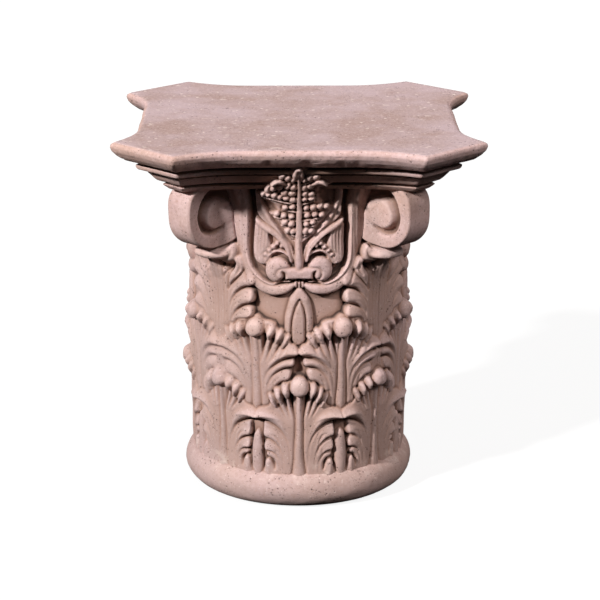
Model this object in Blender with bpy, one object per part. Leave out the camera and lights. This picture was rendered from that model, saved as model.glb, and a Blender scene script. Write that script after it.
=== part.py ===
"""Corinthian capital, cast in one piece, that stands by its own weight.

Units are metres, +Z is up, and the origin is the middle of the underside.
The front face looks towards -Y.  The carving repeats on all four faces.
Angles round the bell are in degrees, from the middle of the front face.
"""

import bmesh
import bpy
import numpy as np

# Overall sizes
HEIGHT = 0.425
BELL_RADIUS = 0.1180
BELL_SIDES = 48

# Round foot
FOOT_RADIUS = 0.1314
FOOT_DEPTH = 0.0444
FOOT_STEPS = 7

# Abacus, the moulded slab on top, with hollow sides and cut-off horns
ABACUS_DEPTH = 0.0542
ABACUS_WAIST = 0.177
ABACUS_REACH = 0.2035
SIDE_HALF_LENGTH = 0.132
SIDE_STRAIGHT_HALF = 0.060
SLAB_DEPTH = 0.0205
SLAB_SETBACK = 0.018
FILLET_DEPTH = 0.009
FILLET_SETBACK = 0.029
OVOLO_DEPTH = 0.0135
OVOLO_SETBACK = 0.0436
ABACUS_SETBACK = 0.0517

# Two tiers of eight acanthus leaves
LOWER_LEAF_FOOT = 0.038
LOWER_LEAF_TIP = 0.1565
UPPER_LEAF_FOOT = 0.112
UPPER_LEAF_TIP = 0.223
LEAVES_ROUND = 8
LEAF_RELIEF = 0.0090
RIB_HALF_ANGLE = 2.3
LOWER_LOBES = ((0.17, 0.70), (0.40, 0.83), (0.67, 0.96), (0.81, 0.52))
UPPER_LOBES = ((0.36, 0.68), (0.64, 0.96), (0.80, 0.55))
KNOB_STAND = 0.0160
KNOB_HALF_ANGLE = 5.3

# Buds between the lower leaves
BUD_TIP = 0.094
BUD_HALF_ANGLE = 4.0
BUD_RELIEF = 0.0060

# Four tall corner leaves under the volutes
CORNER_LEAF_FOOT = 0.160
CORNER_LEAF_TIP = 0.3055
CORNER_LEAF_RELIEF = 0.0085
CORNER_LIP_STAND = 0.0360
CORNER_LIP_ROWS = ((0.93, 0.42, 1.0), (0.98, 0.42, 0.9), (1.0, 0.36, 0.35))

# Corner volutes
VOLUTE_REACH = 0.1840
VOLUTE_RADIUS = 0.0345
VOLUTE_BAND = 0.0100
VOLUTE_SINK = 0.002
VOLUTE_WIDTH = 0.036
VOLUTE_CHANNEL = 0.0060
VOLUTE_EYE_RADIUS = 0.0165
VOLUTE_SIDES = 14

# Middle of each face: pointed bud, pair of scrolls, sheath and palmette
ARCH_FOOT = 0.176
ARCH_TIP = 0.2595
ARCH_HALF_ANGLE = 7.6
ARCH_RELIEF = 0.0078
SCROLL_HEIGHT = 0.280
SCROLL_ANGLE = 10.9
SCROLL_RADIUS = 0.0158
SCROLL_RELIEF = 0.0110
SCROLL_EYE_RADIUS = 0.0070
SCROLL_SIDES = 12
BRIDGE_HALF_HEIGHT = 0.0060
BRIDGE_RISE = 0.003
STALK_RELIEF = 0.0078
STALK_HALF_WIDTH = 0.0070
STALK_PATH = ((3.4, 0.001), (9.0, -0.003), (16.0, 0.0), (22.0, 0.011), (26.5, 0.034))
STALK_TOP_ANGLE = 28.5
SHEATH_RELIEF = 0.0080
SHEATH_HALF_WIDTH = 0.0060
SHEATH_STEPS = ((4.0, 0.0, 0.58, 0.8), (6.0, 0.25, 0.92, 0.95), (11.5, 0.50, 1.0, 1.0),
                (17.0, 0.68, 0.75, 0.9), (21.5, 0.86, 0.20, 0.6))
SPRIG_HALF_WIDTH = 0.0045
SPRIG_STEPS = ((19.0, 0.05, 0.90, 0.75), (19.3, 0.21, 1.0, 0.8), (20.0, 0.36, 0.45, 0.6))
PALMETTE_FOOT = 0.286
PALMETTE_STAND = 0.0100

KEPT_FACES = 0.60

FACES = 4
ROOT_DEPTH = 0.007
SEAT_DEPTH = 0.004
WALL_INSIDE = BELL_RADIUS - ROOT_DEPTH
UNDERSIDE = HEIGHT - ABACUS_DEPTH


def clear_scene():
    for thing in list(bpy.data.objects):
        bpy.data.objects.remove(thing, do_unlink=True)


def terracotta():
    """Pale pinkish fired clay, matt."""
    material = bpy.data.materials.new("terracotta")
    material.use_nodes = True
    shader = material.node_tree.nodes["Principled BSDF"]
    shader.inputs["Base Color"].default_value = (0.47, 0.33, 0.28, 1.0)
    shader.inputs["Roughness"].default_value = 0.85
    shader.inputs["Metallic"].default_value = 0.0
    material.diffuse_color = (0.47, 0.33, 0.28, 1.0)
    return material


def skin(name, rings):
    """Closed mesh through equal rings of points, with a cap at each end."""
    rings = np.asarray(rings, dtype=float)
    count, around = rings.shape[0], rings.shape[1]
    mesh = bpy.data.meshes.new(name)
    shape = bmesh.new()
    points = [shape.verts.new(point) for point in rings.reshape(-1, 3)]
    for row in range(count - 1):
        for spot in range(around):
            here = row * around + spot
            beside = row * around + (spot + 1) % around
            shape.faces.new((points[here], points[beside],
                             points[beside + around], points[here + around]))
    shape.faces.new(points[:around])
    shape.faces.new(points[-around:])
    bmesh.ops.triangulate(shape, faces=shape.faces[:])
    bmesh.ops.recalc_face_normals(shape, faces=shape.faces[:])
    shape.to_mesh(mesh)
    shape.free()
    return mesh


def on_bell(angle, height, radius):
    """Point at an angle in degrees from the front, a height and a radius."""
    turn = np.radians(angle)
    return np.stack(np.broadcast_arrays(radius * np.sin(turn),
                                        -radius * np.cos(turn), height), axis=-1)


def relief_mesh(name, rows):
    """Relief from rows of (angle, height, stand) points, rooted in the bell wall."""
    rings = []
    for row in rows:
        angle, height, stand = np.array(row, dtype=float).T
        front = on_bell(angle, height, BELL_RADIUS + stand)
        right_root = on_bell(angle[-1], height[-1], WALL_INSIDE)
        left_root = on_bell(angle[0], height[0], WALL_INSIDE)
        rings.append(np.vstack([front, right_root, left_root]))
    return skin(name, rings)


def mirrored(half):
    """Full row from its right half, whose first point is on the middle line."""
    left = [(-angle, height, stand) for angle, height, stand in reversed(half[1:])]
    return left + list(half)


def foot_and_bell():
    """Turned foot, a half round, with the plain wall of the bell above it."""
    half = FOOT_DEPTH / 2
    swell = np.linspace(-np.pi / 2, np.pi / 2, FOOT_STEPS)
    radii = list(FOOT_RADIUS - half + half * np.cos(swell))
    heights = list(half + half * np.sin(swell))
    radii[-1] = BELL_RADIUS
    heights[-1] = FOOT_DEPTH * 0.93
    radii.append(BELL_RADIUS)
    heights.append(UNDERSIDE + SLAB_DEPTH)
    angles = np.arange(BELL_SIDES) * 360 / BELL_SIDES
    rings = [on_bell(angles, height, radius) for radius, height in zip(radii, heights)]
    return skin("foot_and_bell", rings)


def abacus_outline(setback):
    """Plan of the abacus, moved in by setback from its widest outline.

    A side runs straight in the middle and then bends out along a parabola to
    its horn, which a 45 degree face cuts off.
    """
    flare = (ABACUS_REACH - ABACUS_WAIST) / (SIDE_HALF_LENGTH - SIDE_STRAIGHT_HALF) ** 2
    along = np.linspace(SIDE_STRAIGHT_HALF, SIDE_HALF_LENGTH * 1.3, 400)
    out = ABACUS_WAIST + flare * (along - SIDE_STRAIGHT_HALF) ** 2
    slope = 2 * flare * (along - SIDE_STRAIGHT_HALF)
    length = np.sqrt(1 + slope ** 2)
    inner_along = along + setback * slope / length
    inner_out = out - setback / length
    cut = SIDE_HALF_LENGTH + ABACUS_REACH - setback * np.sqrt(2)
    tip = np.interp(cut, inner_along + inner_out, along)
    stations = np.linspace(SIDE_STRAIGHT_HALF, tip, 5)
    half_along = np.interp(stations, along, inner_along)
    half_out = np.interp(stations, along, inner_out)
    side_along = np.concatenate([-half_along[::-1], half_along])
    side_out = np.concatenate([half_out[::-1], half_out])
    plan = []
    for face in range(FACES):
        turn = face * np.pi / 2
        plan.append(np.stack([side_along * np.cos(turn) + side_out * np.sin(turn),
                              side_along * np.sin(turn) - side_out * np.cos(turn)], axis=1))
    return np.vstack(plan)


def abacus():
    """Slab with a round nose over a fillet, an ovolo and a last thin band."""
    slab = HEIGHT - SLAB_DEPTH
    fillet = slab - FILLET_DEPTH
    ovolo = fillet - OVOLO_DEPTH
    profile = [
        (ABACUS_SETBACK, UNDERSIDE),
        (ABACUS_SETBACK * 0.87, ovolo),
        (OVOLO_SETBACK, ovolo + OVOLO_DEPTH * 0.15),
        (OVOLO_SETBACK * 0.80, ovolo + OVOLO_DEPTH * 0.50),
        (FILLET_SETBACK * 1.03, fillet),
        (SLAB_SETBACK * 1.20, fillet + FILLET_DEPTH * 0.40),
        (SLAB_SETBACK, slab - SLAB_DEPTH * 0.025),
        (SLAB_SETBACK * 0.45, slab + SLAB_DEPTH * 0.03),
        (SLAB_SETBACK * 0.08, slab + SLAB_DEPTH * 0.30),
        (0.0, slab + SLAB_DEPTH * 0.62),
        (SLAB_SETBACK * 0.10, HEIGHT - SLAB_DEPTH * 0.08),
        (SLAB_SETBACK * 0.25, HEIGHT),
    ]
    rings = []
    for setback, height in profile:
        plan = abacus_outline(setback)
        rings.append(np.column_stack([plan, np.full(len(plan), height)]))
    return skin("abacus", rings)


def acanthus_rows(foot, tip, lobes, half_gap, relief, fade):
    """Rows of one leaf: each lobe gives a row to its tip and one to the notch above.

    A lobe is (height share of its tip, share of half_gap that it reaches).
    Rows slant up from the rib to the edge, as the veins do.  Lobes are high and
    notches are low, and a furrow runs up on both sides of the rib.
    """
    tall = tip - foot
    tips = [(share, reach, share * (1 - 0.45 * reach), 1.0) for share, reach in lobes]
    stations = [(0.0, lobes[0][1] * 0.92, 0.0, 0.5), tips[0]]
    for below, above in zip(tips, tips[1:]):
        stations.append(((below[0] + above[0]) / 2, (below[1] + above[1]) * 0.41,
                         (below[2] + above[2]) / 2, 0.0))
        stations.append(above)
    rows = []
    for edge_share, reach, rib_share, lobe in stations:
        grown = relief * (fade + (1 - fade) * edge_share)
        climb = edge_share - rib_share
        rib_side = RIB_HALF_ANGLE * (1.5 - 0.8 * edge_share)
        rows.append(mirrored([
            (0.0, foot + tall * rib_share, grown * 0.95),
            (rib_side, foot + tall * (rib_share + climb * 0.05), grown * 0.42),
            (half_gap * reach * 0.62, foot + tall * (rib_share + climb * 0.55),
             grown * (0.50 + 0.42 * lobe)),
            (half_gap * reach, foot + tall * edge_share, grown * (0.22 + 0.72 * lobe)),
        ]))
    return rows


def knob_rows(tip):
    """Curled tip of a leaf, a ball that hangs over the rib below it."""
    size = KNOB_HALF_ANGLE * np.pi / 180 * BELL_RADIUS
    middle = tip - size * 0.95
    parts = ((-1.00, 0.78, 0.50), (-0.70, 1.02, 0.96), (0.35, 1.02, 1.00), (0.95, 0.55, 0.15))
    rows = []
    for rise, wide, stand in parts:
        height = middle + rise * size
        rows.append(mirrored([
            (0.0, height, KNOB_STAND * stand),
            (KNOB_HALF_ANGLE * wide * 0.40, height, KNOB_STAND * stand * 0.98),
            (KNOB_HALF_ANGLE * wide * 0.78, height, KNOB_STAND * stand * 0.85),
            (KNOB_HALF_ANGLE * wide, height, KNOB_STAND * stand * 0.45),
        ]))
    return rows


def tier_leaf(name, foot, tip, lobes):
    """Acanthus leaf of the two lower tiers, with its knob."""
    half_gap = 180 / LEAVES_ROUND
    rows = acanthus_rows(foot, tip, lobes, half_gap, LEAF_RELIEF, 0.45)
    return relief_mesh(name, rows + knob_rows(tip))


def corner_leaf():
    """Tall smooth leaf whose tip turns out as a lip below the volute."""
    half_gap = 180 / LEAVES_ROUND
    tall = CORNER_LEAF_TIP - CORNER_LEAF_FOOT
    lobes = ((0.14, 0.78), (0.47, 0.95), (0.62, 1.00), (0.80, 1.03), (0.93, 0.74))
    rows = acanthus_rows(CORNER_LEAF_FOOT, CORNER_LEAF_TIP, lobes, half_gap,
                         CORNER_LEAF_RELIEF, 0.7)
    for share, reach, stand in CORNER_LIP_ROWS:
        height = CORNER_LEAF_FOOT + tall * share
        rows.append(mirrored([
            (0.0, height, CORNER_LIP_STAND * stand),
            (half_gap * reach * 0.35, height, CORNER_LIP_STAND * stand * 0.97),
            (half_gap * reach * 0.7, height, CORNER_LIP_STAND * stand * 0.82),
            (half_gap * reach, height + tall * 0.005, CORNER_LIP_STAND * stand * 0.42),
        ]))
    return relief_mesh("corner_leaf", rows)


def bud():
    """Smooth tongue that fills the gap between two lower leaves."""
    tall = BUD_TIP - LOWER_LEAF_FOOT
    rows = []
    for share, wide, stand in ((0.0, 1.0, 0.8), (0.45, 0.97, 1.0),
                               (0.80, 0.66, 0.9), (1.0, 0.10, 0.1)):
        height = LOWER_LEAF_FOOT + tall * share
        rows.append(mirrored([
            (0.0, height, BUD_RELIEF * stand),
            (BUD_HALF_ANGLE * wide, height, BUD_RELIEF * stand * 0.2),
        ]))
    return relief_mesh("bud", rows)


def arch_bud():
    """Pointed bud inside a raised rim, in the middle of a face."""
    tall = ARCH_TIP - ARCH_FOOT
    rows = []
    for share, wide, bulge, furrow in ((0.0, 1.0, 1.0, 0.65), (0.35, 1.0, 1.0, 0.65),
                                       (0.62, 0.88, 1.0, 0.65), (0.82, 0.52, 0.9, 0.55),
                                       (0.99, 0.16, 0.5, 0.0)):
        height = ARCH_FOOT + tall * share
        reach = ARCH_HALF_ANGLE * wide
        rows.append(mirrored([
            (0.0, height, ARCH_RELIEF * bulge),
            (reach * 0.50, height, ARCH_RELIEF * (0.95 - furrow) * bulge),
            (reach * 0.80, height, ARCH_RELIEF * 0.85 * bulge),
            (reach, height, ARCH_RELIEF * 0.40 * bulge),
        ]))
    return relief_mesh("arch_bud", rows)


def scroll(side):
    """Flat scroll on the bell, with a groove that sets off its raised eye."""
    steps = np.arange(SCROLL_SIDES) * 2 * np.pi / SCROLL_SIDES
    wide = np.degrees(1 / BELL_RADIUS)
    rings = []
    for radius, level in ((SCROLL_RADIUS, -ROOT_DEPTH), (SCROLL_RADIUS, SCROLL_RELIEF * 0.55),
                          (SCROLL_RADIUS * 0.88, SCROLL_RELIEF * 0.85),
                          (SCROLL_EYE_RADIUS * 1.15, SCROLL_RELIEF * 0.90),
                          (SCROLL_EYE_RADIUS, SCROLL_RELIEF * 0.62),
                          (SCROLL_EYE_RADIUS * 0.80, SCROLL_RELIEF)):
        rings.append(on_bell(side * SCROLL_ANGLE + wide * radius * np.sin(steps),
                             SCROLL_HEIGHT + radius * np.cos(steps), BELL_RADIUS + level))
    return skin("scroll", rings)


def bridge():
    """Flat bar that joins the two scrolls of a face."""
    rows = []
    half = SCROLL_ANGLE * 0.9
    for rise in (-1.0, 1.0):
        height = SCROLL_HEIGHT + BRIDGE_RISE + rise * BRIDGE_HALF_HEIGHT
        rows.append([(-half, height, SCROLL_RELIEF * 0.62), (0.0, height, SCROLL_RELIEF * 0.66),
                     (half, height, SCROLL_RELIEF * 0.62)])
    return relief_mesh("bridge", rows)


def ribbon(name, path, half_widths, stands, root):
    """Raised band along a path of (angle, height) on the bell, round on its face."""
    path = np.asarray(path, dtype=float)
    scale = np.array([np.radians(1) * BELL_RADIUS, 1.0])
    flat = path * scale
    heading = np.gradient(flat, axis=0)
    heading /= np.linalg.norm(heading, axis=1, keepdims=True)
    across = np.column_stack([-heading[:, 1], heading[:, 0]])
    rings = []
    for spot, side, half, stand in zip(flat, across, half_widths, stands):
        ring = []
        for share, level in ((1.0, -root), (1.0, stand * 0.6), (0.0, stand),
                             (-1.0, stand * 0.6), (-1.0, -root)):
            place = (spot + side * half * share) / scale
            ring.append(on_bell(place[0], place[1], BELL_RADIUS + level))
        rings.append(np.array(ring))
    return skin(name, rings)


def stalk(side):
    """Band that starts under the scrolls, turns up and runs to the volute."""
    low = SCROLL_HEIGHT - SCROLL_RADIUS
    path = [(side * angle, low + rise) for angle, rise in STALK_PATH]
    path.append((side * STALK_TOP_ANGLE, UNDERSIDE + SEAT_DEPTH))
    later = len(path) - 1
    return ribbon("stalk", path, [STALK_HALF_WIDTH * 0.7] + [STALK_HALF_WIDTH] * later,
                  [STALK_RELIEF * 0.6] + [STALK_RELIEF] * later, ROOT_DEPTH)


def small_leaf(name, side, steps, half_width):
    """Leaf beside the palmette from (angle, share of height, width, stand) steps."""
    tall = UNDERSIDE - PALMETTE_FOOT
    path = [(side * angle, PALMETTE_FOOT + tall * share) for angle, share, wide, stand in steps]
    return ribbon(name, path, [half_width * wide for angle, share, wide, stand in steps],
                  [SHEATH_RELIEF * stand for angle, share, wide, stand in steps], ROOT_DEPTH)


def sheath_leaf(side):
    """Long leaf that springs from the bridge and opens out beside the palmette."""
    return small_leaf("sheath_leaf", side, SHEATH_STEPS, SHEATH_HALF_WIDTH)


def side_sprig(side):
    """Short ribbed leaf that fills the corner beside a sheath leaf."""
    return small_leaf("side_sprig", side, SPRIG_STEPS, SPRIG_HALF_WIDTH)


def palmette():
    """Spray of berries on a stem, which leans out over the abacus mouldings."""
    tall = HEIGHT - SLAB_DEPTH - PALMETTE_FOOT
    lean = ABACUS_WAIST - SLAB_SETBACK - BELL_RADIUS - PALMETTE_STAND
    tiers = ((0.00, 1.6, 0.7), (0.28, 1.9, 0.9), (0.30, 5.0, 1.1), (0.42, 8.5, 0.85),
             (0.46, 9.5, 1.1), (0.56, 15.0, 0.8), (0.63, 15.5, 1.1), (0.72, 11.0, 0.8),
             (0.80, 9.5, 1.1), (0.92, 5.5, 0.9), (0.98, 2.0, 0.5))
    rows = []
    for share, reach, swell in tiers:
        height = PALMETTE_FOOT + tall * share
        rise = max(0.0, share - 0.5) / 0.5
        tilt = lean * rise ** 1.2
        stand = PALMETTE_STAND * swell + tilt
        rows.append(mirrored([
            (0.0, height, stand),
            (reach * 0.22, height, stand - PALMETTE_STAND * 0.25),
            (reach * 0.62, height, stand * 0.95),
            (reach, height, max(stand * 0.85 - PALMETTE_STAND * 0.45, PALMETTE_STAND * 0.3)),
        ]))
    return relief_mesh("palmette", rows)


def volute_point(along, out, height):
    """Point beside the corner diagonal: along is sideways, out is from the axis."""
    half = np.sqrt(0.5)
    return ((out + along) * half, (along - out) * half, height)


def volute_scroll():
    """Scroll with a rim, a sunk channel and a raised eye on both side faces.

    The channel is deepest towards the bell and the outer corner, and runs out
    low on the inner side, where the rim passes into the eye.
    """
    centre_out = VOLUTE_REACH - VOLUTE_RADIUS
    centre_height = UNDERSIDE + VOLUTE_SINK - VOLUTE_RADIUS
    half = VOLUTE_WIDTH / 2
    turn = (np.arange(VOLUTE_SIDES) + 0.5) * 2 * np.pi / VOLUTE_SIDES
    run_out = np.clip(0.62 + 0.62 * np.cos(turn - np.radians(45)), 0.0, 1.0)
    sunk = half - VOLUTE_CHANNEL * run_out
    inner = VOLUTE_RADIUS - VOLUTE_BAND
    side_face = [
        (VOLUTE_EYE_RADIUS * 0.55, np.full_like(turn, half * 1.02)),
        (VOLUTE_EYE_RADIUS, np.full_like(turn, half * 0.93)),
        ((VOLUTE_EYE_RADIUS + inner) / 2, sunk),
        (inner, np.full_like(turn, half * 0.99)),
        (VOLUTE_RADIUS, np.full_like(turn, half)),
    ]
    loops = [(radius, -side) for radius, side in side_face]
    loops += [(radius, side) for radius, side in reversed(side_face)]
    rings = []
    for radius, side in loops:
        out = centre_out + radius * np.cos(turn)
        height = centre_height + radius * np.sin(turn)
        rings.append(np.stack(volute_point(side, out, height), axis=1))
    return skin("volute_scroll", rings)


def volute_neck():
    """Short neck that carries the top of the scroll out from the bell."""
    half = VOLUTE_WIDTH / 2
    top = UNDERSIDE + SEAT_DEPTH
    crown = VOLUTE_REACH - VOLUTE_RADIUS
    rings = []
    for out, deep, wide in ((BELL_RADIUS * 0.90, VOLUTE_RADIUS * 1.05, 1.15),
                            (BELL_RADIUS * 1.09, VOLUTE_RADIUS * 0.65, 1.02),
                            (crown, VOLUTE_BAND, 0.96)):
        rings.append([volute_point(half * wide, out, top), volute_point(half * wide, out, top - deep),
                      volute_point(-half * wide, out, top - deep), volute_point(-half * wide, out, top)])
    return skin("volute_neck", rings)


def place(mesh, holder, turn):
    """Put a copy of a mesh in the carving, turned round the axis by some degrees."""
    copy = bpy.data.objects.new(f"{mesh.name}_{len(holder.objects)}", mesh)
    copy.rotation_euler = (0.0, 0.0, np.radians(turn))
    copy.hide_render = True
    copy.display_type = "WIRE"
    holder.objects.link(copy)


def carve(holder):
    """All the forms that are joined to the bell, round the four faces."""
    place(abacus(), holder, 0)
    leaf_step = 360 / LEAVES_ROUND
    lower = tier_leaf("lower_leaf", LOWER_LEAF_FOOT, LOWER_LEAF_TIP, LOWER_LOBES)
    upper = tier_leaf("upper_leaf", UPPER_LEAF_FOOT, UPPER_LEAF_TIP, UPPER_LOBES)
    filler = bud()
    for leaf in range(LEAVES_ROUND):
        place(lower, holder, leaf * leaf_step)
        place(upper, holder, (leaf + 0.5) * leaf_step)
        place(filler, holder, (leaf + 0.5) * leaf_step)
    corner_parts = [corner_leaf()]
    front_parts = [arch_bud(), bridge(), palmette()]
    for side in (-1, 1):
        front_parts.append(stalk(side))
        front_parts.append(sheath_leaf(side))
        front_parts.append(side_sprig(side))
        front_parts.append(scroll(side))
    volute_parts = [volute_scroll(), volute_neck()]
    for face in range(FACES):
        turn = face * 360 / FACES
        for part in front_parts + volute_parts:
            place(part, holder, turn)
        for part in corner_parts:
            place(part, holder, turn + 180 / FACES)


def main():
    clear_scene()
    carving = bpy.data.collections.new("carving")
    bpy.context.scene.collection.children.link(carving)
    carve(carving)
    capital = bpy.data.objects.new("capital", foot_and_bell())
    bpy.context.scene.collection.objects.link(capital)
    capital.data.materials.append(terracotta())
    union = capital.modifiers.new("join_carving", "BOOLEAN")
    union.operation = "UNION"
    union.operand_type = "COLLECTION"
    union.collection = carving
    union.solver = "EXACT"
    thin = capital.modifiers.new("drop_slivers", "DECIMATE")
    thin.decimate_type = "COLLAPSE"
    thin.ratio = KEPT_FACES


main()
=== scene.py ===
# %% [markdown]
# A Corinthian capital in fired clay
#
# The real thing is one heavy cast: a round foot, a drum wrapped in acanthus leaves,
# four corner volutes and a moulded slab on top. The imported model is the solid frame.
# This lesson builds the fine skin over it: the relief is worked out as height maps
# with numpy, wrapped round the drum, and painted with a clay made of shader maths.

import bpy
import numpy as np
from mathutils import Matrix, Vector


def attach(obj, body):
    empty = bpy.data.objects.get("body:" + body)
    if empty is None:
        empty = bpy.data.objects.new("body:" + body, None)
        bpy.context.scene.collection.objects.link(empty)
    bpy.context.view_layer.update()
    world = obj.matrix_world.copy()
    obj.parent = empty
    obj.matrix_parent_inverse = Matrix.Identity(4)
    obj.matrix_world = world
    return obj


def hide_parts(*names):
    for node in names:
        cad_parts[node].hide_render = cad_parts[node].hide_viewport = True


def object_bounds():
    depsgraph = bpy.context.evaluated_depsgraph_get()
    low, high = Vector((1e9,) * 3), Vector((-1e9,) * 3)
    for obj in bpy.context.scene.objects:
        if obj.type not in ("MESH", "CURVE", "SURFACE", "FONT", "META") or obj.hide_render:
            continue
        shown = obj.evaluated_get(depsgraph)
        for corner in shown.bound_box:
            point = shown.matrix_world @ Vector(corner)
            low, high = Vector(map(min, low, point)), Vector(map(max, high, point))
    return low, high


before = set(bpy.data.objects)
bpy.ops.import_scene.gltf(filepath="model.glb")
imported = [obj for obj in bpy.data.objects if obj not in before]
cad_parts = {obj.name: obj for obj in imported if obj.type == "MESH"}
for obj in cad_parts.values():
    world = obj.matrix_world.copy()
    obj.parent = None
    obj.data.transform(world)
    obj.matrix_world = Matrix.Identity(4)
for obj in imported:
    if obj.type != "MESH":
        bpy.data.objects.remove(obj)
cad_low, cad_high = [list(corner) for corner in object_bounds()]
print("solid box in metres:", np.round(cad_low, 4), np.round(cad_high, 4))

# %% [markdown]
# Sizes come first. Lengths are in metres, apart from the relief, which is easier to
# think of in millimetres. The height and the reach of the slab are read from the
# frame, so the skin always fits the solid.

# %% Driving sizes
MM = 0.001
HEIGHT = cad_high[2]
REACH = cad_high[0]
FOOT_TOP = 0.0444
ABACUS_UNDERSIDE = HEIGHT - 0.0542
WALL_RADIUS = 0.1172
ROLL_RADIUS = 0.125
MM_PER_DEGREE = np.radians(1) * ROLL_RADIUS / MM
FACES = 4
LEAVES = 8
print("height", round(HEIGHT, 4), "reach", round(REACH, 4))

# %% [markdown]
# The camera stands in front and looks down a little, as for a catalogue picture. It is
# made before the pieces, so that every test picture has the same frame. A long lens
# keeps the slab's sides nearly parallel.

# %% Camera
CAMERA_PLACE = (0.0019, -2.4393, 0.9481)
CAMERA_PITCH = 16.87
CAMERA_YAW = -0.39
LENS = 132.83
SENSOR = 36.0


def add_camera():
    """Camera turned up from straight down by 90 degrees less the pitch."""
    data = bpy.data.cameras.new("camera")
    data.lens = LENS
    data.sensor_width = SENSOR
    camera = bpy.data.objects.new("camera", data)
    bpy.context.scene.collection.objects.link(camera)
    tilt = Matrix.Rotation(np.radians(90 - CAMERA_PITCH), 4, "X")
    turn = Matrix.Rotation(np.radians(CAMERA_YAW), 4, "Z")
    camera.matrix_world = turn @ Matrix.Translation(CAMERA_PLACE) @ tilt
    bpy.context.scene.camera = camera
    return camera


print("camera at", np.round(add_camera().matrix_world.translation, 3))

# %% [markdown]
# A hand-made cast is never quite regular. Smooth waves that differ from place to
# place, added together, give a soft wobble. The waves use the place in space, so the
# wobble runs on across every seam, and a fixed seed gives the same cast each time.

# %% Soft wobble
WAVES = 9


def wobble(points, size, seed):
    """Sum of sine waves of about the given length in metres, each in its own
    direction, divided so that the result stays near -1 to 1."""
    rng = np.random.default_rng(seed)
    ways = rng.normal(size=(WAVES, 3))
    ways /= np.linalg.norm(ways, axis=1, keepdims=True)
    ways *= (2 * np.pi / size) * rng.uniform(0.7, 1.5, size=(WAVES, 1))
    phases = rng.uniform(0, 2 * np.pi, WAVES)
    return np.sin(points @ ways.T + phases).sum(axis=-1) / np.sqrt(2 * WAVES)


def on_drum(angle, level, radius):
    """Point at an angle from the front in degrees, a height, and a radius."""
    turn = np.radians(angle)
    parts = np.broadcast_arrays(radius * np.sin(turn), -radius * np.cos(turn), level)
    return np.stack(parts, axis=-1)


print("wobble at the origin:", round(float(wobble(np.zeros(3), 0.1, 1)), 3))

# %% [markdown]
# Acanthus carving is all fingers: long tapering lobes that start at the rib, curve
# outwards and end in a curled tip. One brush can make them all. It follows a curved
# path and leaves a rounded ridge with its own width and height at each point. Round
# each ridge the brush digs a narrow moat, which is the dark line between two lobes.
# Working on a height map is quick, and it can't leave holes.

# %% The carving brush
STEPS_PER_SPAN = 5
MOAT_WIDTH = 1.1


def smooth_line(points, steps):
    """Catmull-Rom curve through the points, read at fractional point numbers."""
    points = np.asarray(points, dtype=float)
    ends = np.vstack([2 * points[0] - points[1], points, 2 * points[-1] - points[-2]])
    first = np.clip(np.floor(steps).astype(int), 0, len(points) - 2)
    t = (steps - first)[:, None]
    a, b, c, d = (ends[first + k] for k in range(4))
    return 0.5 * (2 * b + (c - a) * t + (2 * a - 5 * b + 4 * c - d) * t ** 2
                  + (3 * b - a - 3 * c + d) * t ** 3)


def spread(values, share):
    """Value at a share of the way along an evenly spaced list."""
    return np.interp(share, np.linspace(0, 1, len(values)), values)


def dome(share, bluff):
    """Rounded section: the bluff-th root of 1 less the share to the power bluff."""
    return (1 - np.clip(share, 0, 1) ** bluff) ** (1 / bluff)


def blur(field, reach):
    """Average with a bell-shaped weight, first along rows and then along columns."""
    span = int(np.ceil(2.5 * reach))
    offsets = np.arange(-span, span + 1)
    weights = np.exp(-0.5 * (offsets / reach) ** 2)
    weights /= weights.sum()
    for axis in (0, 1):
        pad = [(span, span) if side == axis else (0, 0) for side in (0, 1)]
        wide = np.pad(field, pad, mode="reflect")
        size = field.shape[axis]
        field = sum(weight * np.take(wide, np.arange(size) + shift, axis=axis)
                    for shift, weight in enumerate(weights))
    return field


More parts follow.
